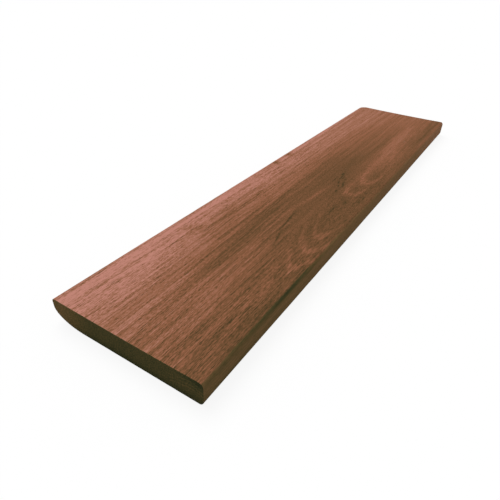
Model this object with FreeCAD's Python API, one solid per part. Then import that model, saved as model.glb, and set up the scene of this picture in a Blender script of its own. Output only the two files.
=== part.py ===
"""Hardwood decking board: one length of moulded plank with a nosed long edge.

The board lies flat with its walking face up. X runs along its length, Y across its width
towards the nosed edge, and Z up. The origin is on the underside, at the middle of the length
and width. All sizes are in millimetres.
"""

import FreeCAD
import Part

import math
import os

# Stock size
board_length = 660.0
board_width = 145.0
board_thickness = 21.0

# Square edge: both arrises are eased by the same radius
arris_radius = 4.0

# Nosed edge: a crisp upper arris, an upright down to this depth, then a quarter ellipse
# that runs this far in under the board
nose_arris_radius = 2.0
nose_upright_depth = 7.0
nose_run = 31.0

# What follows from the driving sizes
half_length = board_length / 2
half_width = board_width / 2
nose_rise = board_thickness - nose_upright_depth

# The middle of a quarter circle lies this share of the way from its centre to the square corner,
# and the same number weights the corner pole of a quarter ellipse
quarter_turn_share = math.cos(math.pi / 4)


def section_point(across, up):
    """A point of the section, in the plane of the board's near end."""
    return FreeCAD.Vector(-half_length, across, up)


def straight(start, end):
    """A straight stretch of the outline."""
    return Part.LineSegment(start, end).toShape()


def eased_arris(start, corner, end):
    """A quarter circle in place of a square corner that start and end are equally far from."""
    centre = start + end - corner
    middle = centre + (corner - centre) * quarter_turn_share
    return Part.Arc(start, middle, end).toShape()


def quarter_ellipse(start, corner, end):
    """A quarter ellipse in place of a square corner: it leaves start and reaches end along its sides."""
    curve = Part.BezierCurve()
    curve.setPoles([start, corner, end])
    curve.setWeight(2, quarter_turn_share)
    return curve.toShape()


def square_edge(top_inner, bottom_inner):
    """The outline down the square edge, from the walking face to the underside."""
    top_corner = section_point(-half_width, board_thickness)
    upright_top = section_point(-half_width, board_thickness - arris_radius)
    upright_foot = section_point(-half_width, arris_radius)
    bottom_corner = section_point(-half_width, 0)
    return [
        eased_arris(top_inner, top_corner, upright_top),
        straight(upright_top, upright_foot),
        eased_arris(upright_foot, bottom_corner, bottom_inner),
    ]


def nosed_edge(bottom_inner, top_inner):
    """The outline up the nosed edge, from the underside to the walking face."""
    bottom_corner = section_point(half_width, 0)
    upright_foot = section_point(half_width, nose_rise)
    upright_top = section_point(half_width, board_thickness - nose_arris_radius)
    top_corner = section_point(half_width, board_thickness)
    return [
        quarter_ellipse(bottom_inner, bottom_corner, upright_foot),
        straight(upright_foot, upright_top),
        eased_arris(upright_top, top_corner, top_inner),
    ]


def board_section():
    """The moulded section, as a face across the near end."""
    top_by_square_edge = section_point(arris_radius - half_width, board_thickness)
    top_by_nose = section_point(half_width - nose_arris_radius, board_thickness)
    underside_by_square_edge = section_point(arris_radius - half_width, 0)
    underside_by_nose = section_point(half_width - nose_run, 0)
    outline = Part.Wire([
        *square_edge(top_by_square_edge, underside_by_square_edge),
        straight(underside_by_square_edge, underside_by_nose),
        *nosed_edge(underside_by_nose, top_by_nose),
        straight(top_by_nose, top_by_square_edge),
    ])
    return Part.Face(outline)


def decking_board():
    """The section run along the whole length, with both ends cross-cut square."""
    return board_section().extrude(FreeCAD.Vector(board_length, 0, 0))


def main():
    """Builds the board and writes it as one solid."""
    os.makedirs("parts", exist_ok=True)
    board = decking_board()
    board.exportStep("parts/decking_board.step")
    print(f"decking_board: valid {board.isValid()}, volume {board.Volume:.0f} cubic millimetres")


main()
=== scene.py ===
"""One hardwood decking board, grown, planed and oiled, lying on a pale studio floor.

The board lies where its solid does: X along the length with the near end at -X, Y across towards the
nosed edge, Z up, all in metres. The wood is worked out in millimetres, because growth layers, pores and
saw marks are of that size. One set of formulas grows the wood: on arrays they carve the mesh, and on
fields they lay the nodes of a finish, so relief and colour agree on every face and on both cut ends.
"""

import logging
import math
from dataclasses import dataclass
from enum import Enum
from typing import Optional, Union

import bpy
import numpy as np
from mathutils import Matrix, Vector
from numpy.lib.mixins import NDArrayOperatorsMixin


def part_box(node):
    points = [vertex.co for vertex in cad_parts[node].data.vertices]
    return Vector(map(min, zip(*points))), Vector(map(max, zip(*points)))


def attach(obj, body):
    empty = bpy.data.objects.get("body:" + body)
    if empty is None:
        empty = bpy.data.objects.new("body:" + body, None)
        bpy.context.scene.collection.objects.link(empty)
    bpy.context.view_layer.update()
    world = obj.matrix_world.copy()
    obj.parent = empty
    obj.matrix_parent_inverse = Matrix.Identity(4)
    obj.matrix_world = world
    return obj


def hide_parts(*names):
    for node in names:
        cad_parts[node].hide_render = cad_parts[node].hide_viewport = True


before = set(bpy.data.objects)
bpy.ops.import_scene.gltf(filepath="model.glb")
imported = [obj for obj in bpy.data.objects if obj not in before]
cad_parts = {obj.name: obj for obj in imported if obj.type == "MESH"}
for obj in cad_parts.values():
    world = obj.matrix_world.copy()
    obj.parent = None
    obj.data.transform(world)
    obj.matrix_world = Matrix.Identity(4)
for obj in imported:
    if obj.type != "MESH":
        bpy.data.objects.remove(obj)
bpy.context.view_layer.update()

NODE = "decking_board"
BODY = "root"
RUB_AND_HIGHLIGHT = "rubbed_and_highlit"
MILLIMETRE = 0.001
QUARTER_TURN = math.pi / 2
WHITE = (1.0, 1.0, 1.0, 1.0)
EYE_WEIGHTS = (0.3, 0.5, 0.2)
NOISE_MIDDLE = 0.5

log = logging.getLogger(NODE)


class Face(Enum):
    """How a face of the board was made, and the material slot that it takes."""

    PLANED = 0
    SAWN = 1


class Course(Enum):
    """How a ramp runs between its stops."""

    STRAIGHT = "LINEAR"
    CURVED = "CARDINAL"


class Colour(Enum):
    """Colours of one kind of surface, as linear red, green and blue, from its darkest to its palest."""

    @property
    def brightness(self) -> float:
        """How bright the colour is, as the eye weighs red, green and blue in a brown."""
        return sum(weight * part for weight, part in zip(EYE_WEIGHTS, self.value))


class Tone(Colour):
    """What the oiled long grain runs through, from its deepest heart to its palest sapward side."""

    SHADE = (0.061, 0.043, 0.018)
    DEEP = (0.138, 0.070, 0.030)
    HEART = (0.203, 0.091, 0.043)
    RUSSET = (0.293, 0.119, 0.062)
    PALE = (0.371, 0.165, 0.105)
    ROSE = (0.521, 0.231, 0.178)


class SealerAndShadeTone(Colour):
    """What wood under a dark seal coat runs through, from its damp pores to where the coat is worn thin; on
    the square edge its darkness and olive hue are partly painted shade.
    """

    PORE = (0.030, 0.031, 0.013)
    DAMP = (0.052, 0.054, 0.022)
    SEALED = (0.111, 0.082, 0.031)
    DRY = (0.186, 0.111, 0.046)
    THIN = (0.300, 0.146, 0.072)


class Field(NDArrayOperatorsMixin):
    """A number that varies through the wood: numpy's arithmetic on it lays math nodes."""

    OPERATIONS = {
        np.add: "ADD",
        np.subtract: "SUBTRACT",
        np.multiply: "MULTIPLY",
        np.true_divide: "DIVIDE",
        np.sqrt: "SQRT",
        np.tanh: "TANH",
        np.exp: "EXPONENT",
        np.absolute: "ABSOLUTE",
        np.maximum: "MAXIMUM",
        np.rint: "ROUND",
    }

    def __init__(self, bench: "Bench", socket: bpy.types.NodeSocket) -> None:
        """Keeps the bench that lays the nodes and the socket that carries the number."""
        self.bench = bench
        self.socket = socket

    def __array_ufunc__(
        self, ufunc: np.ufunc, method: str, *inputs: "Number", **options: object
    ) -> "Field":
        """Lays the math node that does what a numpy function does to arrays.

        Args:
            ufunc: The numpy function.
            method: How numpy calls it, which is always the plain call here; not used.
            inputs: The numbers and fields that it works on.
            options: Numpy's other settings, of which the formulas use none; not used.

        Returns:
            The field that the node gives.
        """
        made = self.bench.node("ShaderNodeMath", dict(enumerate(inputs)), operation=self.OPERATIONS[ufunc])
        return Field(self.bench, made.outputs[0])


Number = Union[float, np.ndarray, Field]
Stops = tuple[tuple[float, float], ...]
Patch = tuple[float, float, float]


def bell(*ways: Number) -> Number:
    """A smooth hump: e to the minus the sum of the squares of the ways off its middle."""
    squares = [way * way for way in ways]
    return np.exp(sum(squares[1:], squares[0]) * -1.0)


def put_in_scene(data: Union[bpy.types.Mesh, bpy.types.Camera, bpy.types.Light]) -> bpy.types.Object:
    """Puts a mesh, a camera or a lamp into the scene, at the origin.

    Args:
        data: What is put there.

    Returns:
        Its object, of the same name.
    """
    made = bpy.data.objects.new(data.name, data)
    bpy.context.scene.collection.objects.link(made)
    return made


class Bench:
    """Lays out and joins the nodes of one material, or of the surround."""

    def __init__(self, owner: Union[bpy.types.Material, bpy.types.World]) -> None:
        """Starts an empty node tree.

        Args:
            owner: The material or world that the tree belongs to.
        """
        owner.use_nodes = True
        self.owner = owner
        self.tree = owner.node_tree
        self.tree.nodes.clear()

    def node(self, kind: str, inputs: dict[Union[str, int], object], **settings: object) -> bpy.types.Node:
        """Adds a node.

        Args:
            kind: The node's type name.
            inputs: What goes into it, by the names or numbers of its inputs.
            settings: Attributes of the node and their values.

        Returns:
            The new node.
        """
        made = self.tree.nodes.new(kind)
        for name, value in settings.items():
            setattr(made, name, value)
        for key, value in inputs.items():
            self.feed(made.inputs[key], value)
        return made

    def feed(self, socket: bpy.types.NodeSocket, value: object) -> None:
        """Joins something to an input, or sets a constant on it.

        Args:
            socket: The input.
            value: A field, an output, a node that has one output, or a constant.
        """
        if isinstance(value, Field):
            value = value.socket
        elif isinstance(value, bpy.types.Node):
            value = value.outputs[0]
        if isinstance(value, bpy.types.NodeSocket):
            self.tree.links.new(value, socket)
        else:
            socket.default_value = value


class WoodBench(Bench):
    """Lays out the nodes of a wooden face.

    Its along, across and up are the wood's own coordinates, in millimetres, and its depth is counted down
    from the walking face.
    """

    def __init__(self, name: str, thickness: float) -> None:
        """Starts a material that reads its place in the board.

        Args:
            name: The material's name.
            thickness: The board's thickness, in millimetres.
        """
        super().__init__(bpy.data.materials.new(name))
        coordinates = self.node("ShaderNodeTexCoord", {})
        split = self.node("ShaderNodeSeparateXYZ", {0: coordinates.outputs["Object"]})
        self.along, self.across, self.up = (Field(self, output) / MILLIMETRE for output in split.outputs)
        self.depth = thickness - self.up

    def noise(self, patch: Patch, detail: float = 2.0, across: Optional[Field] = None) -> Field:
        """Smooth noise from 0 to 1, in patches of one size.

        Args:
            patch: The size of a patch along, across and up, in millimetres.
            detail: How many finer layers are added.
            across: Places across, where they aren't the bench's own.

        Returns:
            The noise.
        """
        places = (self.along, self.across if across is None else across, self.up)
        scaled = [place / size for place, size in zip(places, patch)]
        joined = self.node("ShaderNodeCombineXYZ", dict(enumerate(scaled)))
        made = self.node("ShaderNodeTexNoise", {"Vector": joined, "Scale": 1.0, "Detail": detail})
        return Field(self, made.outputs[0])

    def ramp(
        self, value: Field, stops: list[tuple[float, tuple[float, ...]]], course: Course
    ) -> bpy.types.NodeSocket:
        """Looks a value up on a ramp of colours.

        Args:
            value: The value, from 0 to 1.
            stops: Pairs of a position from 0 to 1 and a colour.
            course: How the ramp runs between them.

        Returns:
            The output that carries the colour.
        """
        made = self.node("ShaderNodeValToRGB", {0: value})
        made.color_ramp.interpolation = course.value
        elements = made.color_ramp.elements
        while len(elements) < len(stops):
            elements.new(1.0)
        for element, (position, colour) in zip(elements, stops):
            element.position = position
            element.color = (*colour, 1.0)
        return made.outputs[0]

    def profile(self, value: Field, stops: Stops) -> Field:
        """A curve through a few stops.

        Args:
            value: The field that is looked up.
            stops: Pairs of a value and what the curve is there, in rising order.

        Returns:
            The curve's height.
        """
        first, last = stops[0][0], stops[-1][0]
        greys = [((at - first) / (last - first), (height,) * 3) for at, height in stops]
        looked_up = self.ramp((value - first) / (last - first), greys, Course.CURVED)
        return Field(self, self.node("ShaderNodeSeparateColor", {0: looked_up}).outputs[0])

    def attribute(self, name: str) -> Field:
        """A number that the mesh carries at each of its points."""
        return Field(self, self.node("ShaderNodeAttribute", {}, attribute_name=name).outputs["Fac"])

    def colour(self, brightness: Field, tones: type[Colour]) -> bpy.types.NodeSocket:
        """The wood's colour at a brightness.

        Args:
            brightness: The brightness, on the scale of the tones.
            tones: The colours that it runs through.

        Returns:
            The output that carries the colour.
        """
        brightest = max(tone.brightness for tone in tones)
        stops = [(tone.brightness / brightest, tone.value) for tone in tones]
        return self.ramp(brightness / brightest, stops, Course.STRAIGHT)

    def cover(
        self, share: Field, under: bpy.types.NodeSocket, over: bpy.types.NodeSocket
    ) -> bpy.types.NodeSocket:
        """One colour covered with a share, from 0 to 1, of another."""
        return self.node("ShaderNodeMixRGB", {0: share, 1: under, 2: over}).outputs[0]

    def finish(
        self, colour: bpy.types.NodeSocket, roughness: Field, specular: float, relief: Field
    ) -> bpy.types.Material:
        """Ends the material in a shader with bump.

        Args:
            colour: The base colour.
            roughness: The roughness.
            specular: How much the surface reflects, the same all over.
            relief: The height of the fine relief, in millimetres.

        Returns:
            The finished material.
        """
        bump = self.node("ShaderNodeBump", {"Distance": MILLIMETRE, "Height": relief})
        look = {"Base Color": colour, "Roughness": roughness, "Specular IOR Level": specular}
        shader = self.node("ShaderNodeBsdfPrincipled", {**look, "Normal": bump})
        self.node("ShaderNodeOutputMaterial", {"Surface": shader})
        return self.owner


@dataclass(frozen=True)
class Ease:
    """A number that eases from 0, where a field is at the start, to full, where it is at the end.

    It grows as three squares less two cubes of the way between them, and the start may be the higher one.
    """

    start: float
    end: float
    full: float = 1.0

    def at(self, field: Field) -> Field:
        """The number all over a field.

        Args:
            field: The field that it follows.

        Returns:
            The number, as a field.
        """
        span = {"Value": field, "From Min": self.start, "From Max": self.end, "To Max": self.full}
        made = field.bench.node("ShaderNodeMapRange", span, interpolation_type="SMOOTHSTEP")
        return Field(field.bench, made.outputs[0])


@dataclass(frozen=True)
class Step:
    """A smooth step along the board: a tanh from minus its size to its size. Sizes are in millimetres."""

    size: float
    middle: float
    run: float

    def height(self, along: Number) -> Number:
        """The height of the step at a place along the board."""
        return self.size * np.tanh((along - self.middle) / self.run)


@dataclass(frozen=True)
class Growth:
    """How the tree grew: layers round a pith that lies under the board and climbs towards its far end.

    Sizes are in millimetres, and point is a share. Depths are counted down from the walking face.
    """

    heart_across: float = -58.0
    heart_depth: float = 49.0
    heart_climb: Step = Step(size=29.0, middle=-150.0, run=260.0)
    pith_across: float = -53.0
    pith_slant: Step = Step(size=9.0, middle=-90.0, run=110.0)
    pith_depth: float = 56.0
    pith_climb: Step = Step(size=7.0, middle=-159.0, run=60.0)
    point: float = 0.24
    point_reach: float = 10.0
    blunt: float = 6.0
    layer: float = 3.1
    bright_layer: float = 55.7

    def pith_aside(self, along: Number) -> Number:
        """Place of the pith across the board."""
        return self.pith_across + self.pith_slant.height(along)

    def pith_below(self, along: Number) -> Number:
        """Depth of the pith, which climbs along the board."""
        return self.pith_depth - self.pith_climb.height(along)

    def heart_distance(self, along: Number, across: Number, depth: Number) -> Number:
        """Distance from the middle of the dark heart: the root of the squares sideways and upright.

        Args:
            along: Place along the board.
            across: Place across the board.
            depth: Depth under the walking face.

        Returns:
            The distance in millimetres.
        """
        sideways = across - self.heart_across
        upright = self.heart_depth - self.heart_climb.height(along) - depth
        return np.sqrt(sideways * sideways + upright * upright)

    def distance(self, along: Number, across: Number, depth: Number) -> Number:
        """Distance from the pith, as the layers count it: they come to a blunt point right above the pith.

        It is the root of the squares sideways and upright, plus a share of the way sideways that dies away.
        That way is the root of its square and the bluntness's square, less the bluntness.

        Args:
            along: Place along the board.
            across: Place across the board.
            depth: Depth under the walking face.

        Returns:
            The distance in millimetres.
        """
        sideways = across - self.pith_aside(along)
        upright = self.pith_below(along) - depth
        way = np.sqrt(sideways * sideways + self.blunt**2) - self.blunt
        pointed = self.point * way * np.exp(way / -self.point_reach)
        return np.sqrt(sideways * sideways + upright * upright) + pointed

    def layers(self, distance: Number) -> Number:
        """Growth layers counted outwards from the bright one."""
        return (distance - self.bright_layer) / self.layer


@dataclass(frozen=True)
class Streak:
    """A long soft stain in the wood: a smooth hump with its own reach along and across.

    Places and reaches are in millimetres, and lean is millimetres across for each one along. Gain is the
    share by which the middle is brighter, or darker if it is negative. Drift is the share of the wood's
    aimless drift that the streak follows.
    """

    along: float
    across: float
    length: float
    width: float
    gain: float
    lean: float = 0.0
    drift: float = 0.2

    def share(self, along: Number, across: Number) -> Number:
        """How much the streak adds at a place.

        Args:
            along: Place along the board.
            across: Place across the board.

        Returns:
            The gain times the hump.
        """
        onward = along - self.along
        aside = across - self.across
        if self.lean:
            aside = aside - onward * self.lean
        return self.gain * bell(onward / self.length, aside / self.width)


@dataclass(frozen=True)
class DepthStreak(Streak):
    """A streak that is strongest at one depth under the walking face. Sizes are in millimetres."""

    depth: float = 0.0
    thickness: float = 3.0

    def depth_share(self, along: Number, across: Number, depth: Number) -> Number:
        """How much it adds at a place: the streak's share times a hump in depth."""
        return self.share(along, across) * bell((depth - self.depth) / self.thickness)


@dataclass(frozen=True)
class Tongue:
    """A growth layer that the walking face cuts as a pale tongue: a round tip, and two limbs that run on.

    Places and sizes are in millimetres. Stroke is how thick its outline is, as a share of the tongue's own
    size, and gain is the share by which the outline is brighter.
    """

    along: float
    across: float
    half_width: float
    tip: float
    length: float
    stroke: float
    gain: float

    def share(self, along: Number, across: Number) -> Number:
        """How much the tongue adds at a place.

        On its outline the square of the place across, over the half width, is 1 less e to the minus the way
        on from the tip.

        Args:
            along: Place along the board.
            across: Place across the board.

        Returns:
            The gain times a hump over the way off the outline and the way on.
        """
        onward = along - self.along
        aside = (across - self.across) / self.half_width
        off = (aside * aside - 1.0 + np.exp(onward / -self.tip)) / self.stroke
        return self.gain * bell(off, onward / self.length)


@dataclass(frozen=True)
class Wander:
    """A smooth aimless drift: noise of one patch length and width, times the widest swing to either side.

    All sizes are in millimetres, apart from a swing that is a share.
    """

    length: float
    width: float
    swing: float
    detail: float = 3.0

    def shift(self, bench: WoodBench) -> Field:
        """The drift, from minus the swing to the swing."""
        noise = bench.noise((self.length, self.width, self.width), self.detail)
        return (noise - NOISE_MIDDLE) * (2.0 * self.swing)


@dataclass(frozen=True)
class Mark:
    """One kind of fine mark that repeats through the wood: stretched noise, eased from nothing to full.

    Length and width are in millimetres, and so is rise, the height at which a full mark stands. Start and
    full are the noise values between which it grows. Gain is the share by which a full mark is brighter. It
    counts from the usual share of the mark, so that the wood keeps its mean tone. Fill is the share of it
    that oil fills towards the far end.
    """

    length: float
    width: float
    start: float
    full: float
    usual: float
    gain: float
    rise: float = 0.0
    detail: float = 2.0
    fill: float = 0.42

    def share(self, bench: WoodBench, across: Field) -> Field:
        """How much of the mark there is, from 0 to 1, at places across."""
        noise = bench.noise((self.length, self.width, self.width), self.detail, across)
        return Ease(self.start, self.full).at(noise)

    def tint(self, share: Field, filled: Field) -> Field:
        """The share by which the wood is brighter, where a share of the marks is filled with oil."""
        return (share - self.usual) * (1.0 - filled * self.fill) * self.gain


@dataclass(frozen=True)
class Wood:
    """The grown wood, as brightness and relief fields that any cut through it shows.

    Sizes are in millimetres, and brightness is on the scale of the tones. Heart to sap and line strength
    are pairs of a distance and what the wood is there.
    """

    growth: Growth
    thickness: float
    # Brightness from the heart out to the sap, and what it gains towards the two ends; the gain towards the
    # near end is partly painted light
    heart_to_sap: Stops = (
        (15.0, 0.075), (24.0, 0.085), (34.0, 0.100), (46.0, 0.096), (60.0, 0.098), (72.0, 0.110),
        (82.0, 0.114), (94.0, 0.146), (108.0, 0.187), (120.0, 0.225), (140.0, 0.272),
    )
    heartward: Ease = Ease(start=112.0, end=75.0)
    far_gain: Ease = Ease(start=20.0, end=330.0, full=0.57)
    near_gain_and_painted_light: Ease = Ease(start=-150.0, end=-250.0, full=0.12)
    # Pale lines between the growth layers, by the way off a line in layers, and what they lose
    line: Ease = Ease(start=0.27, end=0.07)
    line_gain: float = 0.52
    line_rise: float = 0.02
    line_strength: Stops = (
        (40.0, 0.15), (50.5, 0.15), (51.5, 0.8), (59.5, 0.8), (61.0, 0.25), (75.0, 0.15), (100.0, 0.0),
    )
    limb_loss: Ease = Ease(start=6.0, end=28.0, full=0.95)
    far_line_loss: Ease = Ease(start=-120.0, end=-50.0, full=0.85)
    break_patch: Patch = (12.0, 2.0, 2.0)
    break_loss: Ease = Ease(start=0.52, end=0.36, full=0.6)
    # Where the dense heart holds fine marks back, and where oil fills them
    dense_stretch: Ease = Ease(start=-180.0, end=-80.0)
    dense_heart: Ease = Ease(start=92.0, end=62.0, full=0.72)
    dense_lag: float = 4.0
    loosening: Ease = Ease(start=40.0, end=140.0, full=0.4)
    filling: Ease = Ease(start=-60.0, end=200.0)
    # Aimless drifts of the layers, the marks, the stains and the brightness
    feather: Wander = Wander(length=30.0, width=12.0, swing=1.2, detail=5.0)
    fray: Wander = Wander(length=16.0, width=2.2, swing=9.0)
    spread: Wander = Wander(length=30.0, width=12.0, swing=2.4, detail=5.0)
    wave: Wander = Wander(length=130.0, width=40.0, swing=1.8)
    stain_wander: Wander = Wander(length=46.0, width=7.0, swing=5.0)
    stain_depth: float = 12.0
    cloud: Wander = Wander(length=160.0, width=13.0, swing=0.06)
    patch: Wander = Wander(length=30.0, width=4.0, swing=0.12)
    # Fine marks, from the widest to the smallest
    bands: Mark = Mark(
        length=180.0, width=4.2, start=0.36, full=0.64, usual=0.5, gain=0.28, rise=0.012,
        detail=0.6, fill=0.0,
    )
    fibres: Mark = Mark(length=45.0, width=0.90, start=0.40, full=0.60, usual=0.5, gain=0.35, rise=0.020)
    threads: Mark = Mark(length=22.0, width=1.10, start=0.56, full=0.68, usual=0.15, gain=0.26)
    pores: Mark = Mark(length=10.0, width=0.70, start=0.57, full=0.67, usual=0.14, gain=-0.34, rise=-0.05)
    specks: Mark = Mark(length=3.4, width=0.60, start=0.38, full=0.62, usual=0.5, gain=0.50)
    tongues: tuple[Tongue, ...] = (
        Tongue(along=-23, across=-46.5, half_width=10, tip=10, length=42, stroke=0.38, gain=0.40),
        Tongue(along=18, across=-50, half_width=11.5, tip=20, length=46, stroke=0.34, gain=0.42),
    )
    streaks: tuple[Streak, ...] = (
        # The dark heart, its root towards the near end and its tail towards the far one
        Streak(along=-10, across=-3, length=170, width=15, lean=-0.03, drift=1.0, gain=-0.12),
        Streak(along=-175, across=4, length=90, width=5, lean=0.07, drift=1.0, gain=-0.18),
        Streak(along=115, across=-18, length=70, width=5, lean=-0.08, drift=1.0, gain=-0.14),
        # Pale runs beside it, from the near end on
        Streak(along=-300, across=-15, length=40, width=20, drift=0.3, gain=0.07),
        Streak(along=-292, across=3, length=60, width=8, drift=0.3, gain=0.20),
        Streak(along=-292, across=-8, length=65, width=6, drift=0.3, gain=0.24),
        Streak(along=-292, across=-24, length=55, width=4, gain=0.22),
        Streak(along=-292, across=-34, length=45, width=6, drift=0.3, gain=0.14),
        Streak(along=-260, across=-43, length=60, width=2.6, gain=0.11),
        Streak(along=-225, across=-21, length=40, width=2.2, gain=0.18),
        Streak(along=-225, across=-52.5, length=32, width=3.5, drift=0.3, gain=0.18),
        Streak(along=-205, across=-22, length=120, width=10, lean=0.11, drift=1.0, gain=0.20),
        Streak(along=-120, across=-8, length=45, width=2.4, lean=-0.02, drift=0.3, gain=0.30),
        Streak(along=-103, across=-30, length=28, width=3, drift=0.4, gain=0.22),
        Streak(along=-46, across=-15, length=27, width=2.2, lean=-0.10, drift=0.25, gain=0.42),
        Streak(along=30, across=-9, length=40, width=3.5, gain=0.10),
        Streak(along=65, across=-67, length=45, width=3, drift=0.3, gain=0.12),
        Streak(along=115, across=-54, length=50, width=9, drift=0.6, gain=0.28),
        Streak(along=120, across=-10, length=45, width=35, drift=1.0, gain=0.06),
        Streak(along=120, across=-39.5, length=100, width=7, lean=0.01, drift=0.3, gain=0.43),
        Streak(along=200, across=-9.5, length=70, width=4, drift=0.3, gain=0.11),
        Streak(along=225, across=-45, length=45, width=6, drift=0.4, gain=0.14),
        # Pale runs in the sapward half
        Streak(along=-245, across=51, length=60, width=3, gain=0.12),
        Streak(along=-230, across=41, length=95, width=2.4, gain=0.10),
        Streak(along=-225, across=30, length=45, width=3, gain=0.12),
        Streak(along=-130, across=34, length=60, width=3, gain=0.13),
        Streak(along=-130, across=11, length=60, width=3, gain=0.12),
        Streak(along=-45, across=22, length=70, width=4, lean=0.03, drift=1.0, gain=0.14),
        Streak(along=-35, across=37, length=40, width=3, gain=0.10),
        Streak(along=-32, across=14, length=32, width=3, gain=0.11),
        Streak(along=-32, across=57, length=32, width=2.6, gain=0.11),
        Streak(along=60, across=51, length=80, width=4.5, drift=0.3, gain=0.17),
        Streak(along=98, across=53, length=36, width=3.5, gain=0.10),
        Streak(along=100, across=66, length=45, width=2.6, gain=0.14),
        Streak(along=108, across=29, length=50, width=5, drift=0.4, gain=0.24),
        Streak(along=120, across=40, length=60, width=7, drift=1.0, gain=0.08),
        Streak(along=228, across=18.5, length=40, width=3, gain=0.11),
        Streak(along=245, across=42, length=105, width=5, gain=0.34),
        # A dull stretch right across, and dark runs on the square edge's side
        Streak(along=-115, across=0, length=45, width=90, drift=1.0, gain=-0.09),
        Streak(along=-292, across=-36.5, length=40, width=2.2, gain=-0.13),
        Streak(along=-250, across=-67, length=60, width=7, drift=0.3, gain=-0.38),
        Streak(along=-228, across=-27, length=35, width=2.2, gain=-0.24),
        Streak(along=-228, across=-36, length=35, width=3, drift=0.3, gain=-0.20),
        Streak(along=-100, across=-44, length=90, width=4, drift=0.4, gain=-0.13),
        Streak(along=-5, across=-56, length=85, width=20, drift=1.0, gain=-0.17),
        Streak(along=230, across=-25.5, length=110, width=3, gain=-0.09),
        Streak(along=268, across=-64, length=90, width=6, drift=1.0, gain=-0.34),
        # Dull lines in the sapward half
        Streak(along=-297, across=17.5, length=40, width=3, drift=0.3, gain=-0.24),
        Streak(along=-232, across=21, length=40, width=2, gain=-0.16),
        Streak(along=-232, across=14.5, length=40, width=2, gain=-0.26),
        Streak(along=-230, across=44.8, length=120, width=2.2, gain=-0.18),
        Streak(along=-195, across=35.8, length=60, width=2.2, gain=-0.12),
        Streak(along=-165, across=24.5, length=35, width=2.6, gain=-0.13),
        Streak(along=-140, across=36, length=60, width=8, lean=0.02, drift=1.0, gain=-0.20),
        Streak(along=-30, across=28.5, length=45, width=4, drift=0.3, gain=-0.14),
        Streak(along=185, across=4, length=110, width=4, drift=0.3, gain=-0.09),
        # A thin dark line beside the heart, and the dashes that it ends in
        Streak(along=-152, across=-24.8, length=17, width=1.2, lean=0.26, drift=0.0, gain=-0.36),
        Streak(along=-115, across=-16.6, length=21, width=1.2, lean=0.11, drift=0.0, gain=-0.48),
        Streak(along=5, across=-24, length=45, width=5, lean=0.12, gain=-0.11),
        Streak(along=-23, across=-29.4, length=4, width=0.9, lean=0.20, drift=0.0, gain=-0.42),
        Streak(along=-8, across=-26.4, length=4, width=0.8, lean=0.20, drift=0.0, gain=-0.46),
        Streak(along=-4.5, across=-30.6, length=3.5, width=1.0, lean=0.20, drift=0.0, gain=-0.48),
        Streak(along=1, across=-28.4, length=7, width=0.8, lean=0.12, drift=0.0, gain=-0.46),
        Streak(along=1, across=-22.8, length=4, width=1.0, lean=0.20, drift=0.0, gain=-0.48),
        Streak(along=8, across=-15.4, length=7, width=0.8, lean=0.05, drift=0.0, gain=-0.36),
        Streak(along=13, across=-26.2, length=2.5, width=1.1, drift=0.0, gain=-0.44),
        Streak(along=16, across=-22.4, length=4, width=0.8, lean=0.10, drift=0.0, gain=-0.36),
        Streak(along=18, across=-19.6, length=9, width=0.8, lean=0.05, drift=0.0, gain=-0.42),
        Streak(along=27, across=-17.4, length=4.5, width=1.2, drift=0.0, gain=-0.48),
        # Small dark flecks by the square edge
        Streak(along=-124, across=-63, length=4, width=1.2, gain=-0.34),
        Streak(along=-105, across=-63.8, length=22, width=1.4, gain=-0.28),
        Streak(along=-82, across=-65.6, length=5, width=1.2, drift=0.0, gain=-0.36),
        Streak(along=-65, across=-44.5, length=4, width=1.2, drift=0.0, gain=-0.30),
        Streak(along=-45, across=-50, length=5, width=2.2, gain=-0.26),
        Streak(along=-35, across=-61.9, length=4, width=1.2, drift=0.0, gain=-0.34),
        Streak(along=-23, across=-62.5, length=5, width=1.2, drift=0.0, gain=-0.34),
        # Small dark flecks in the sapward side
        Streak(along=-187, across=53, length=9, width=7, lean=-0.8, drift=1.0, gain=-0.20),
        Streak(along=6, across=67.5, length=5.5, width=3.5, drift=0.0, gain=-0.50),
        Streak(along=6, across=57, length=5, width=8, gain=-0.12),
        Streak(along=41, across=67, length=7, width=4.5, drift=0.0, gain=-0.46),
        # The nosed edge: a rosy band at the near end, a dull spot and a duller far end
        Streak(along=-250, across=64.5, length=140, width=3.6, gain=0.26),
        Streak(along=-250, across=54, length=120, width=4, drift=0.25, gain=-0.10),
        Streak(along=-35, across=64.5, length=36, width=4.5, gain=-0.24),
        Streak(along=60, across=60, length=110, width=4, drift=0.4, gain=-0.09),
        Streak(along=330, across=60, length=130, width=25, drift=1.0, gain=-0.11),
    )

    def frayed(self, bench: WoodBench) -> Field:
        """Places along the board, frayed as the fibres are."""
        return bench.along + self.fray.shift(bench)

    def distance(self, bench: WoodBench) -> Field:
        """Distance from the pith, frayed along the fibres and feathered across them, in millimetres."""
        exact = self.growth.distance(self.frayed(bench), bench.across, bench.depth)
        return exact + self.feather.shift(bench)

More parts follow.
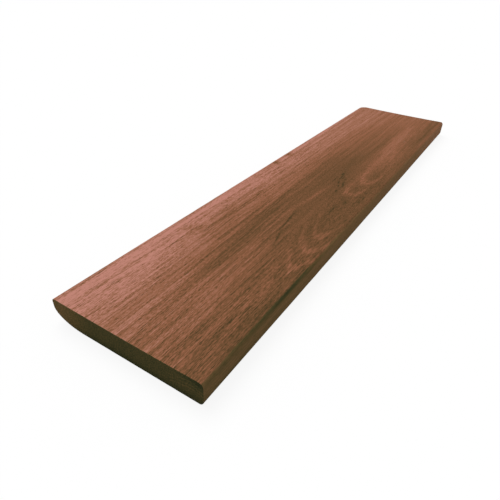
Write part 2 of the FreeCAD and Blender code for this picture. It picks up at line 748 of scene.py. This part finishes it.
    def ground(self, bench: WoodBench) -> Field:
        """How bright the wood is under its fine marks: heart to sap, gains by length, stains and clouds.

        The stains are the streaks and tongues, which fade as a hump does with the depth.

        Args:
            bench: The bench of the material.

        Returns:
            The brightness.
        """
        outward = self.growth.heart_distance(bench.along, bench.across, bench.depth)
        outward = outward + self.spread.shift(bench)
        heart = bench.profile(outward, self.heart_to_sap)
        gain = self.far_gain.at(bench.along) * self.heartward.at(outward) + self.near_gain_and_painted_light.at(bench.along)
        aside = self.stain_wander.shift(bench)
        drifts = sorted({streak.drift for streak in self.streaks})
        drifted = {drift: bench.across + aside * drift for drift in drifts}
        frayed = self.frayed(bench)
        stains = 0.0
        for streak in self.streaks:
            stains = stains + streak.share(bench.along, drifted[streak.drift])
        for tongue in self.tongues:
            stains = stains + tongue.share(frayed, bench.across)
        stained = 1.0 + stains * bell(bench.depth / self.stain_depth)
        clouds = 1.0 + self.cloud.shift(bench) + self.patch.shift(bench)
        return heart * (1.0 + gain) * stained * clouds

    def layer_lines(self, bench: WoodBench, distance: Field) -> Field:
        """Pale lines between the growth layers, broken here and there and strongest right above the pith.

        Args:
            bench: The bench of the material.
            distance: Distance from the pith.

        Returns:
            The lines, from 0 to 1.
        """
        count = self.growth.layers(distance)
        line = self.line.at(np.absolute(count - np.rint(count)))
        strength = bench.profile(distance, self.line_strength)
        limb = 1.0 - self.limb_loss.at(np.absolute(bench.across - self.growth.pith_aside(bench.along)))
        whole = 1.0 - self.break_loss.at(bench.noise(self.break_patch))
        fade = 1.0 - self.far_line_loss.at(bench.along)
        return line * strength * limb * whole * fade

    def liveliness(self, bench: WoodBench, distance: Field) -> Field:
        """How strongly fine marks show: the dense heart holds them back, though less towards the far end.

        It starts past the near part of the board, and soonest right above the pith.

        Args:
            bench: The bench of the material.
            distance: Distance from the pith.

        Returns:
            The share of the marks that shows, from 0 to 1.
        """
        lagging = bench.along - (distance - self.dense_heart.end) * self.dense_lag
        firm = 1.0 - self.loosening.at(bench.along)
        return 1.0 - self.dense_stretch.at(lagging) * self.dense_heart.at(distance) * firm

    def grain(self, bench: WoodBench, marks: tuple[Mark, ...]) -> tuple[Field, Field]:
        """The fine marks all together: layer lines, marks of some kinds, and specks.

        Args:
            bench: The bench of the material.
            marks: The kinds of mark that this cut through the wood shows.

        Returns:
            The share by which the wood is brighter, and the height of its relief in millimetres.
        """
        distance = self.distance(bench)
        lines = self.layer_lines(bench, distance)
        filled = self.filling.at(bench.along)
        waved = bench.across + self.wave.shift(bench)
        tint = 0.0
        relief = lines * self.line_rise
        for mark in marks:
            share = mark.share(bench, waved)
            tint = tint + mark.tint(share, filled)
            relief = relief + share * mark.rise
        specks = self.specks.tint(self.specks.share(bench, bench.across), filled)
        return lines * self.line_gain + tint * self.liveliness(bench, distance) + specks, relief


@dataclass(frozen=True)
class PlanedFinish:
    """Planed long grain: oil gathered on the nose, arrises paler from wear and partly from a painted
    highlight, and a seal coat down the square edge that is partly painted shade.

    Sizes are in millimetres, and brightness is on the scale of the tones.
    """

    wood: Wood
    specular: float = 0.002
    roughness: float = 0.58
    polish: float = 2.4
    # Paler arrises and end rims: partly wear, partly a painted highlight
    rub_and_highlight_patch: Patch = (26.0, 5.0, 5.0)
    rub_and_highlight_gain: Ease = Ease(start=0.36, end=0.66, full=0.16)
    oil_across: Ease = Ease(start=66.8, end=68.8)
    oil_loss: Ease = Ease(start=-20.0, end=-260.0, full=0.28)
    # Seal coat down the square edge, partly painted shade: darker and more olive than the walking face
    seal_and_shade_reach: Ease = Ease(start=-69.8, end=-71.8)
    seal_and_shade_pull: float = 1.6
    seal_and_shade_wander: Wander = Wander(length=40.0, width=6.0, swing=1.4)
    seal_and_shade_fade: Stops = ((-330.0, 0.099), (-160.0, 0.119), (60.0, 0.132), (180.0, 0.150), (330.0, 0.175))
    # Darker in one run along the top of the square edge
    dark_arris_run: DepthStreak = DepthStreak(along=-225, across=-71.2, length=75, width=2.2, depth=1.2, gain=-0.52)
    seal_and_shade_grain: float = 0.4

    def sealed_and_shaded(self, bench: WoodBench, tint: Field) -> tuple[Field, bpy.types.NodeSocket]:
        """The seal coat on the square edge, which is partly painted shade: thinner and lighter towards the
        far end, and darkest in one run.

        Args:
            bench: The bench of the material.
            tint: The share by which the grain is brighter.

        Returns:
            How far it covers the wood, from 0 to 1, and its colour.
        """
        run = self.dark_arris_run.depth_share(bench.along, bench.across, bench.depth)
        drifted = bench.across + self.seal_and_shade_wander.shift(bench) + run * self.seal_and_shade_pull
        faded = bench.profile(bench.along, self.seal_and_shade_fade) * (1.0 + run)
        colour = bench.colour(faded * (1.0 + tint * self.seal_and_shade_grain), SealerAndShadeTone)
        return self.seal_and_shade_reach.at(drifted), colour

    def material(self) -> bpy.types.Material:
        """Lays the nodes. Ridges of the relief are smoother than its hollows.

        Returns:
            The material.
        """
        wood = self.wood
        bench = WoodBench("planed_wood", wood.thickness)
        tint, relief = wood.grain(bench, (wood.bands, wood.fibres, wood.threads, wood.pores))
        # Paler arrises and end rims: partly wear, partly a painted highlight
        rubbed_and_highlit = bench.attribute(RUB_AND_HIGHLIGHT) * self.rub_and_highlight_gain.at(bench.noise(self.rub_and_highlight_patch))
        oiled = self.oil_across.at(bench.across) * self.oil_loss.at(bench.along)
        brightness = wood.ground(bench) * (1.0 + tint) * (1.0 + rubbed_and_highlit) * (1.0 - oiled)
        # The square edge's seal coat, partly painted shade
        covered, seal_and_shade_colour = self.sealed_and_shaded(bench, tint)
        colour = bench.cover(covered, bench.colour(brightness, Tone), seal_and_shade_colour)
        return bench.finish(colour, self.roughness - relief * self.polish, self.specular, relief)


@dataclass(frozen=True)
class SawnFinish:
    """Cross-cut end grain: layers as arcs and pores as dots, scored by the saw and darkened by a seal coat.

    Sizes are in millimetres, and brightness is on the scale of the tones.
    """

    wood: Wood
    specular: float = 0.002
    roughness: float = 0.88
    polish: float = 1.5
    ground: float = 0.060
    grain_share: float = 0.9
    # Brighter towards the nose: painted light on the end face
    painted_nose_light: Ease = Ease(start=28.0, end=62.0, full=0.62)
    foot_loss: Ease = Ease(start=8.0, end=1.0, full=0.24)
    corner: DepthStreak = DepthStreak(along=-330, across=-70, length=60, width=14, depth=1, thickness=6, gain=-0.40)
    score_patch: Patch = (20.0, 1.3, 60.0)
    score_gain: float = 0.35
    score_rise: float = 0.06

    def material(self) -> bpy.types.Material:
        """Lays the nodes. The end is darker at its foot and in one upper corner, and brighter towards the
        nose, where light is painted on.

        Returns:
            The material.
        """
        wood = self.wood
        bench = WoodBench("sawn_end_grain", wood.thickness)
        tint, relief = wood.grain(bench, (wood.fibres, wood.pores))
        scores = bench.noise(self.score_patch) - NOISE_MIDDLE
        corner = self.corner.depth_share(bench.along, bench.across, bench.depth)
        # Painted light brightens the end towards the nose; it is darker at the foot and in one upper corner
        end_tone_and_painted_light = 1.0 + self.painted_nose_light.at(bench.across) - self.foot_loss.at(bench.up) + corner
        fine = 1.0 + tint * self.grain_share + scores * self.score_gain
        colour = bench.colour(self.ground * end_tone_and_painted_light * fine, SealerAndShadeTone)
        rough = self.roughness - relief * self.polish
        return bench.finish(colour, rough, self.specular, relief + scores * self.score_rise)


@dataclass(frozen=True)
class Section:
    """The moulded section: square edge at -Y with eased arrises, nosed edge at +Y. Sizes are in metres."""

    width: float
    thickness: float
    arris_radius: float = 0.004
    nose_arris_radius: float = 0.002
    nose_upright_depth: float = 0.007
    nose_run: float = 0.031
    across_cells: int = 140
    arris_cells: int = 6
    nose_cells: int = 34
    up_cells: int = 12

    @staticmethod
    def quarter(centre: tuple[float, float], reach: tuple[float, float], cells: int) -> np.ndarray:
        """Points of a quarter ellipse: centre plus reach times the cosine and sine of a growing angle.

        Args:
            centre: Its centre, across and up.
            reach: Its half axes, across and up.
            cells: How many stretches it has.

        Returns:
            The points, one row each.
        """
        angle = np.linspace(0.0, QUARTER_TURN, cells + 1)
        return np.array(centre) + np.array(reach) * np.stack([np.cos(angle), np.sin(angle)], axis=1)

    def joined(self, left: np.ndarray, right: np.ndarray) -> np.ndarray:
        """Two round stretches joined by a straight one, which takes the cells that they leave.

        Args:
            left: Points of the stretch by the square edge.
            right: Points of the stretch by the nosed edge.

        Returns:
            The points of all three, one row each.
        """
        round_cells = len(left) - 1 + len(right) - 1
        straight = np.linspace(left[-1], right[0], self.across_cells - round_cells + 1)
        return np.concatenate([left, straight[1:-1], right])

    def upper_line(self) -> np.ndarray:
        """The outline from the square edge's upright over the walking face to the nose's upright.

        Returns:
            The points, one row each, across and up.
        """
        half, top = self.width / 2, self.thickness
        square, nose = self.arris_radius, self.nose_arris_radius
        left = self.quarter((square - half, top - square), (-square, square), self.arris_cells)
        right = self.quarter((half - nose, top - nose), (nose, nose), self.arris_cells)
        return self.joined(left, right[::-1])

    def lower_line(self) -> np.ndarray:
        """The outline from the square edge's upright under the board to the nose's upright.

        Returns:
            The points, one row each, across and up.
        """
        half, square, run = self.width / 2, self.arris_radius, self.nose_run
        rise = self.thickness - self.nose_upright_depth
        left = self.quarter((square - half, square), (-square, -square), self.arris_cells)
        right = self.quarter((half - run, rise), (run, -rise), self.nose_cells)
        return self.joined(left, right[::-1])

    def lattice(self) -> np.ndarray:
        """The whole section as a grid: straight lines from the lower outline to the upper one.

        Returns:
            Points by place across and place up, each across and up.
        """
        share = np.linspace(0.0, 1.0, self.up_cells + 1)[None, :, None]
        return self.lower_line()[:, None, :] * (1.0 - share) + self.upper_line()[:, None, :] * share


@dataclass(frozen=True)
class DeckingBoard:
    """The board: its section carried along its length, with worn rims, a slight hollow and raised grain.

    Sizes are in metres, and the crease, past which two faces meet sharply, is in degrees.
    """

    section: Section
    wood: Wood
    length: float
    along_cells: int = 300
    rim_radius: float = 0.0003
    rim_cells: int = 4
    knock_radius: float = 0.011
    knock_cells: int = 10
    knock_reach: float = 0.028
    rub_and_highlight_span: int = 3
    rub_and_highlight_reach: float = 0.0016
    hollow: float = 0.0006
    grain_relief: float = 0.00004
    saw_relief: float = 0.00006
    saw_pitch: float = 0.0034
    saw_lean: float = 0.35
    crease: float = 50.0

    def stations(self) -> np.ndarray:
        """Places along the board: even, with more where a rim is worn and where a corner is knocked round.

        Returns:
            The places, from the near end to the far one.
        """
        half = self.length / 2
        rim = self.rim_radius * (1.0 - np.cos(np.linspace(0.0, QUARTER_TURN, self.rim_cells + 1)))
        knock = np.linspace(self.rim_radius, self.knock_radius, self.knock_cells + 1)
        end = np.concatenate([rim[:-1], knock[:-1]])
        reach = half - self.knock_radius
        middle = np.linspace(-reach, reach, self.along_cells - 2 * len(end) + 1)
        return np.concatenate([end - half, middle, half - end[::-1]])

    @staticmethod
    def rounding(room: np.ndarray, radius: float) -> np.ndarray:
        """How far a quarter circle has drawn in: the radius less the root of its square less the way's.

        Args:
            room: Distances from the face that the quarter circle ends on.
            radius: Its radius.

        Returns:
            The inset at each distance, which is nought from one radius on.
        """
        way = np.clip(radius - room, 0.0, radius)
        return radius - np.sqrt(radius**2 - way**2)

    def ring(self) -> tuple[np.ndarray, np.ndarray]:
        """The way round the section's lattice, under the board, up the nose, back over and down.

        Returns:
            The lattice places across and up of each point on the way round.
        """
        wide, tall = self.section.across_cells, self.section.up_cells
        out, back = np.arange(wide + 1), np.arange(wide - 1, -1, -1)
        rise, fall = np.arange(1, tall + 1), np.arange(tall - 1, 0, -1)
        across = np.concatenate([out, np.full_like(rise, wide), back, np.zeros_like(fall)])
        up = np.concatenate([np.zeros_like(out), rise, np.full_like(back, tall), fall])
        return across, up

    def long_faces(self, along: np.ndarray, outline: np.ndarray) -> np.ndarray:
        """Points of the long faces: the outline, drawn in at the rims and raised along the growth layers.

        The raised grain is a sine of the layer count, so that each layer stands up by as much.

        Args:
            along: Places along the board.
            outline: Points round the section.

        Returns:
            Points by place along and place round the section.
        """
        tangent = np.roll(outline, -1, axis=0) - np.roll(outline, 1, axis=0)
        outward = np.stack([tangent[:, 1], -tangent[:, 0]], axis=1)
        outward /= np.linalg.norm(outward, axis=1, keepdims=True)
        place = along[:, None] / MILLIMETRE
        across, up = outline.T[:, None, :] / MILLIMETRE
        distance = self.wood.growth.distance(place, across, self.wood.thickness - up)
        grain = self.grain_relief * (np.sin(2 * math.pi * self.wood.growth.layers(distance)) - 1.0)
        lift = grain - self.rounding(self.length / 2 - np.abs(along), self.rim_radius)[:, None]
        points = outline[None] + lift[:, :, None] * outward[None]
        return np.concatenate([np.broadcast_to(along[:, None, None], (*lift.shape, 1)), points], axis=2)

    def rubbed_and_highlit(self, along: np.ndarray, outline: np.ndarray) -> np.ndarray:
        """How much the long faces are worn and given a painted highlight: by how sharply the outline turns,
        or how near an end is.

        The turn counts as a share of a right angle, the end as a hump, and the larger of them holds.

        Args:
            along: Places along the board.
            outline: Points round the section.

        Returns:
            The share by place along and place round the section, from 0 to 1.
        """
        ahead = np.roll(outline, -self.rub_and_highlight_span, axis=0) - outline
        behind = outline - np.roll(outline, self.rub_and_highlight_span, axis=0)
        sine = behind[:, 0] * ahead[:, 1] - behind[:, 1] * ahead[:, 0]
        turn = np.abs(np.arctan2(sine, np.sum(ahead * behind, axis=1))) / QUARTER_TURN
        end = bell((self.length / 2 - np.abs(along)) / self.rub_and_highlight_reach)
        return np.maximum(np.clip(turn, 0.0, 1.0)[None, :], end[:, None])

    def end_face(self, side: float) -> np.ndarray:
        """Points inside a cut end: the lattice, scored by the saw with a sine across the board.

        Args:
            side: -1 for the near end and 1 for the far one.

        Returns:
            The points inside the rim, by place across and place up.
        """
        inner = self.section.lattice()[1:-1, 1:-1]
        slant = inner[..., 0] + self.saw_lean * inner[..., 1]
        score = np.sin(2 * math.pi * slant / self.saw_pitch) - 1.0
        along = side * (self.length / 2 + self.saw_relief * score)
        return np.concatenate([along[..., None], inner], axis=2)

    def knocked(self, points: np.ndarray) -> np.ndarray:
        """The points after the far corner of the nosed edge has been knocked round.

        The edge draws in by a quarter circle towards the far end, and what lies behind it gives way by an
        eased share, three squares less two cubes.

        Args:
            points: Points of the board with square corners.

        Returns:
            The points with that corner round.
        """
        moved = points.copy()
        drawn = self.rounding(self.length / 2 - points[:, 0], self.knock_radius)
        share = np.clip(1.0 - (self.section.width / 2 - points[:, 1]) / self.knock_reach, 0.0, 1.0)
        moved[:, 1] = points[:, 1] - drawn * share**2 * (3.0 - 2.0 * share)
        return moved

    def hollowed(self, points: np.ndarray) -> np.ndarray:
        """The points after the wood has shrunk: the walking face has sunk, and the underside is still flat.

        It sinks by the hollow times one less the square of the place across, over the half width.

        Args:
            points: Points of the flat board.

        Returns:
            The points, still within the height of the flat board.
        """
        moved = points.copy()
        share = 1.0 - (2 * points[:, 1] / self.section.width) ** 2
        moved[:, 2] = points[:, 2] * (1.0 - share * self.hollow / self.section.thickness)
        return moved

    def faces(self, around: int) -> tuple[np.ndarray, np.ndarray]:
        """Corners of every face, wound outwards, and how each face was made.

        Args:
            around: How many points go round the section.

        Returns:
            The corners of each face, and the number of its material slot.
        """
        wide, tall, last = self.section.across_cells, self.section.up_cells, self.along_cells
        wrap = np.arange((last + 1) * around).reshape(last + 1, around)
        turned = np.roll(wrap, -1, axis=1)
        sides = np.stack([wrap[:-1], turned[:-1], turned[1:], wrap[1:]], axis=2).reshape(-1, 4)
        across, up = self.ring()
        inner_count = (wide - 1) * (tall - 1)
        ends = []
        for order, station in enumerate((0, last)):
            grid = np.empty((wide + 1, tall + 1), int)
            grid[across, up] = wrap[station]
            start = wrap.size + order * inner_count
            grid[1:-1, 1:-1] = np.arange(start, start + inner_count).reshape(wide - 1, tall - 1)
            corners = [grid[:-1, :-1], grid[1:, :-1], grid[1:, 1:], grid[:-1, 1:]]
            quads = np.stack(corners, axis=2).reshape(-1, 4)
            ends.append(quads if station else quads[:, ::-1])
        slots = np.full(len(sides) + 2 * len(ends[0]), Face.SAWN.value)
        slots[self.rim_cells * around : len(sides) - self.rim_cells * around] = Face.PLANED.value
        return np.concatenate([sides, *ends]), slots

    def mesh(self) -> bpy.types.Mesh:
        """Makes the board's one closed mesh.

        Returns:
            The mesh, with a material slot for each way that a face was made.
        """
        across, up = self.ring()
        outline = self.section.lattice()[across, up]
        stations = self.stations()
        wrap = self.long_faces(stations, outline)
        ends = [self.end_face(side).reshape(-1, 3) for side in (-1.0, 1.0)]
        points = self.hollowed(self.knocked(np.concatenate([wrap.reshape(-1, 3), *ends])))
        rubbed_and_highlit = np.zeros(len(points))
        rubbed_and_highlit[: len(stations) * len(outline)] = self.rubbed_and_highlit(stations, outline).ravel()
        faces, slots = self.faces(len(outline))
        mesh = bpy.data.meshes.new("dressed_board")
        mesh.from_pydata(points.tolist(), [], faces.tolist())
        mesh.attributes.new(RUB_AND_HIGHLIGHT, "FLOAT", "POINT").data.foreach_set("value", rubbed_and_highlit)
        mesh.polygons.foreach_set("material_index", slots.astype(np.int32))
        mesh.polygons.foreach_set("use_smooth", np.ones(len(slots), bool))
        mesh.set_sharp_from_angle(angle=math.radians(self.crease))
        mesh.update()
        return mesh

    def build(self) -> bpy.types.Object:
        """Makes the board, dresses it and puts it in place of its solid.

        Returns:
            The piece.
        """
        mesh = self.mesh()
        for finish in (PlanedFinish(self.wood), SawnFinish(self.wood)):
            mesh.materials.append(finish.material())
        board = put_in_scene(mesh)
        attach(board, BODY)
        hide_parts(NODE)
        return board


@dataclass(frozen=True)
class Viewpoint:
    """Where the board is seen from. The place is in metres and the turns are in degrees."""

    place: tuple[float, float, float] = (-0.47141, -0.18736, 0.24559)
    heading: float = 31.085
    downward: float = 33.929
    roll: float = -2.657
    focal_pixels: float = 441.52
    frame_pixels: float = 500.0
    sensor_millimetres: float = 36.0

    def build(self) -> bpy.types.Object:
        """Makes the camera: it looks along its heading, tipped down, and is then rolled about its own axis.

        Returns:
            The camera, set as the scene's.
        """
        heading, downward, roll = (math.radians(turn) for turn in (self.heading, self.downward, self.roll))
        data = bpy.data.cameras.new("viewpoint")
        data.sensor_width = self.sensor_millimetres
        data.lens = self.sensor_millimetres * self.focal_pixels / self.frame_pixels
        turned = Matrix.Rotation(heading - QUARTER_TURN, 4, "Z")
        tipped = Matrix.Rotation(QUARTER_TURN - downward, 4, "X")
        rolled = Matrix.Rotation(-roll, 4, "Z")
        camera = put_in_scene(data)
        camera.matrix_world = Matrix.Translation(self.place) @ turned @ tipped @ rolled
        bpy.context.scene.camera = camera
        return camera


@dataclass(frozen=True)
class Studio:
    """A pale floor under one broad lamp and an even surround of light.

    The floor's sizes are in metres and the lamp's angles in degrees. The rest are shares of full light, or
    of the shadow that shows.
    """

    surround: float = 0.55
    lamp_share: float = 0.46
    lamp_spread: float = 40.0
    lamp_rise: float = 55.0
    lamp_heading: float = 62.0
    floor_half: float = 30.0
    floor_gap: float = 0.0003
    floor_bounce: float = 0.55
    shadow_share: float = 0.12

    @staticmethod
    def seen(bench: Bench) -> Field:
        """One where the camera, a mirror or a glass looks straight at a thing, and nought for its light.

        Args:
            bench: The bench of the thing.

        Returns:
            The field that says so.
        """
        path = bench.node("ShaderNodeLightPath", {})
        names = ("Is Camera Ray", "Is Glossy Ray", "Is Transmission Ray")
        camera, mirror, glass = (Field(bench, path.outputs[name]) for name in names)
        return np.maximum(np.maximum(camera, mirror), glass)

    def light_surround(self) -> None:
        """Lights the scene evenly from all round, and shows white where it is seen."""
        world = bpy.data.worlds.new("surround")
        bench = Bench(world)
        strength = bench.node("ShaderNodeMapRange", {"Value": self.seen(bench), "To Min": self.surround})
        background = bench.node("ShaderNodeBackground", {"Color": WHITE, "Strength": strength.outputs[0]})
        bench.node("ShaderNodeOutputWorld", {"Surface": background})
        bpy.context.scene.world = world

    def hang_lamp(self) -> None:
        """Hangs one broad lamp on the nosed edge's side, so the square edge and near end are in shade.

        A lamp of strength pi right overhead gives the walking face full light, and a lower one makes up for
        its slant by the sine of its rise.
        """
        rise = math.radians(self.lamp_rise)
        data = bpy.data.lights.new("broad_lamp", "SUN")
        data.energy = self.lamp_share * math.pi / math.sin(rise)
        data.angle = math.radians(self.lamp_spread)
        swung = Matrix.Rotation(math.radians(self.lamp_heading) + QUARTER_TURN, 4, "Z")
        put_in_scene(data).matrix_world = swung @ Matrix.Rotation(QUARTER_TURN - rise, 4, "X")

    def floor_material(self) -> bpy.types.Material:
        """White where it is seen, less the board's shadow, and darker in the light that it throws back.

        Returns:
            The material.
        """
        bench = Bench(bpy.data.materials.new("pale_floor"))
        white = bench.node("ShaderNodeEmission", {})
        shadowed = bench.node("ShaderNodeBsdfDiffuse", {"Color": WHITE})
        shown = bench.node("ShaderNodeMixShader", {0: self.shadow_share, 1: white, 2: shadowed})
        thrown = bench.node("ShaderNodeBsdfDiffuse", {"Color": (*(self.floor_bounce,) * 3, 1.0)})
        either = bench.node("ShaderNodeMixShader", {0: self.seen(bench), 1: thrown, 2: shown})
        bench.node("ShaderNodeOutputMaterial", {"Surface": either})
        return bench.owner

    def lay_floor(self) -> bpy.types.Object:
        """Lays the floor just under the board.

        Returns:
            The floor.
        """
        corners = np.array([(-1.0, -1.0), (1.0, -1.0), (1.0, 1.0), (-1.0, 1.0)]) * self.floor_half
        points = np.column_stack([corners, np.full(len(corners), -self.floor_gap)])
        mesh = bpy.data.meshes.new("floor")
        mesh.from_pydata(points.tolist(), [], [tuple(range(len(corners)))])
        mesh.materials.append(self.floor_material())
        floor = put_in_scene(mesh)
        return floor

    def build(self) -> None:
        """Lights the scene and lays the floor, with colours shown as they are written."""
        bpy.context.scene.view_settings.view_transform = "Standard"
        self.light_surround()
        self.hang_lamp()
        self.lay_floor()


def main() -> None:
    """Builds the camera, the studio and the board in order, and reports each piece."""
    logging.basicConfig(level=logging.INFO, format="%(name)s: %(message)s")
    low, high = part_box(NODE)
    length, width, thickness = high - low
    Viewpoint().build()
    Studio().build()
    wood = Wood(Growth(), thickness / MILLIMETRE)
    board = DeckingBoard(Section(width, thickness), wood, length).build()
    log.info("%s has %d faces", board.name, len(board.data.polygons))


if __name__ == "__main__":
    main()
